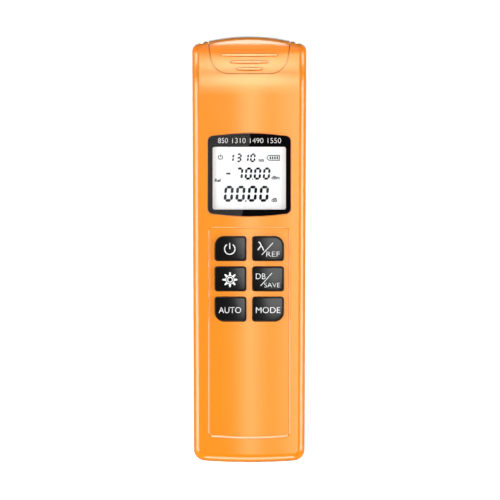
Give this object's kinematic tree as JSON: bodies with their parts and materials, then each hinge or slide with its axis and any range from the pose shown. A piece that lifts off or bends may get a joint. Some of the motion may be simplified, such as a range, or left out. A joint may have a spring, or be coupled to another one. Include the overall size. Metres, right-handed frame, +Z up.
{
  "type": "optical power meter",
  "caption": "Handheld optical power meter with a display, a keypad, a flip cap over its fibre port and a sliding battery door.",
  "frame": {"origin": "middle of the surface that the meter lies on, under the middle of its length", "axes": "+X across the width, to the right seen from the face; +Y along the length, towards the optical port; +Z up out of the face with the display"},
  "size_m": [0.047, 0.176, 0.0274],
  "materials": {
    "orange_plastic": "glossy orange moulded plastic with a fine grain",
    "grey_plastic": "satin light grey moulded plastic",
    "key_plastic": "near-black moulded plastic with a fine grain and white legends",
    "clear_lens": "clear polished window",
    "black_print": "black screen-printed frame",
    "display": "reflective liquid crystal display, lit white",
    "white_plastic": "white plastic",
    "rubber_strip": "layered elastomer contact strip",
    "silicone": "grey silicone rubber",
    "carbon": "printed carbon",
    "circuit_board": "green solder mask",
    "chip_epoxy": "black epoxy",
    "steel": "bright steel",
    "spring_steel": "nickel-plated spring steel",
    "nickel": "nickel-plated brass",
    "gold_can": "gold-plated can",
    "black_plastic": "black moulded plastic",
    "cell_jacket": "plain dark jacket"
  },
  "bodies": {
    "body": {"front_shell": "orange_plastic", "rear_shell": "grey_plastic", "hinge_pin": "steel", "display_lens": "clear_lens", "lens_mask": "black_print", "lcd_panel": "display", "lcd_backlight": "white_plastic", "lcd_connector": "rubber_strip", "lcd_frame": "white_plastic", "keypad_mat": "silicone", "key_contacts": "carbon", "main_board": "circuit_board", "board_chips": "chip_epoxy", "shell_screws": "steel", "board_screws": "steel", "port_mount": "black_plastic", "port_adapter": "nickel", "adapter_screws": "steel", "detector_holder": "black_plastic", "photodiode": "gold_can", "battery_cell_1": "cell_jacket", "battery_cell_2": "cell_jacket", "battery_cell_3": "cell_jacket", "battery_plates": "spring_steel", "battery_springs": "spring_steel"},
    "cap": {"cap_cover": "orange_plastic", "cap_liner": "grey_plastic"},
    "door": {"battery_door": "grey_plastic"},
    "power_key_body": {"power_key": "key_plastic"},
    "wavelength_key_body": {"wavelength_key": "key_plastic"},
    "backlight_key_body": {"backlight_key": "key_plastic"},
    "save_key_body": {"save_key": "key_plastic"},
    "auto_key_body": {"auto_key": "key_plastic"},
    "mode_key_body": {"mode_key": "key_plastic"}
  },
  "joints": [
    {"name": "cap_flip", "type": "hinge", "parent": "body", "child": "cap", "pos_m": [0, 0.0849, 0.01], "axis": [-1, 0, 0], "range_deg": [0, 130]},
    {"name": "battery_door_slide", "type": "slide", "parent": "body", "child": "door", "axis": [0, -1, 0], "range_m": [0, 0.066]},
    {"name": "power_press", "type": "slide", "parent": "body", "child": "power_key_body", "axis": [0, 0, -1], "range_m": [0, 0.0008], "stiffness_N_per_m": 1500, "deforming": ["keypad_mat"]},
    {"name": "wavelength_press", "type": "slide", "parent": "body", "child": "wavelength_key_body", "axis": [0, 0, -1], "range_m": [0, 0.0008], "stiffness_N_per_m": 1500},
    {"name": "backlight_press", "type": "slide", "parent": "body", "child": "backlight_key_body", "axis": [0, 0, -1], "range_m": [0, 0.0008], "stiffness_N_per_m": 1500},
    {"name": "save_press", "type": "slide", "parent": "body", "child": "save_key_body", "axis": [0, 0, -1], "range_m": [0, 0.0008], "stiffness_N_per_m": 1500},
    {"name": "auto_press", "type": "slide", "parent": "body", "child": "auto_key_body", "axis": [0, 0, -1], "range_m": [0, 0.0008], "stiffness_N_per_m": 1500},
    {"name": "mode_press", "type": "slide", "parent": "body", "child": "mode_key_body", "axis": [0, 0, -1], "range_m": [0, 0.0008], "stiffness_N_per_m": 1500}
  ]
}
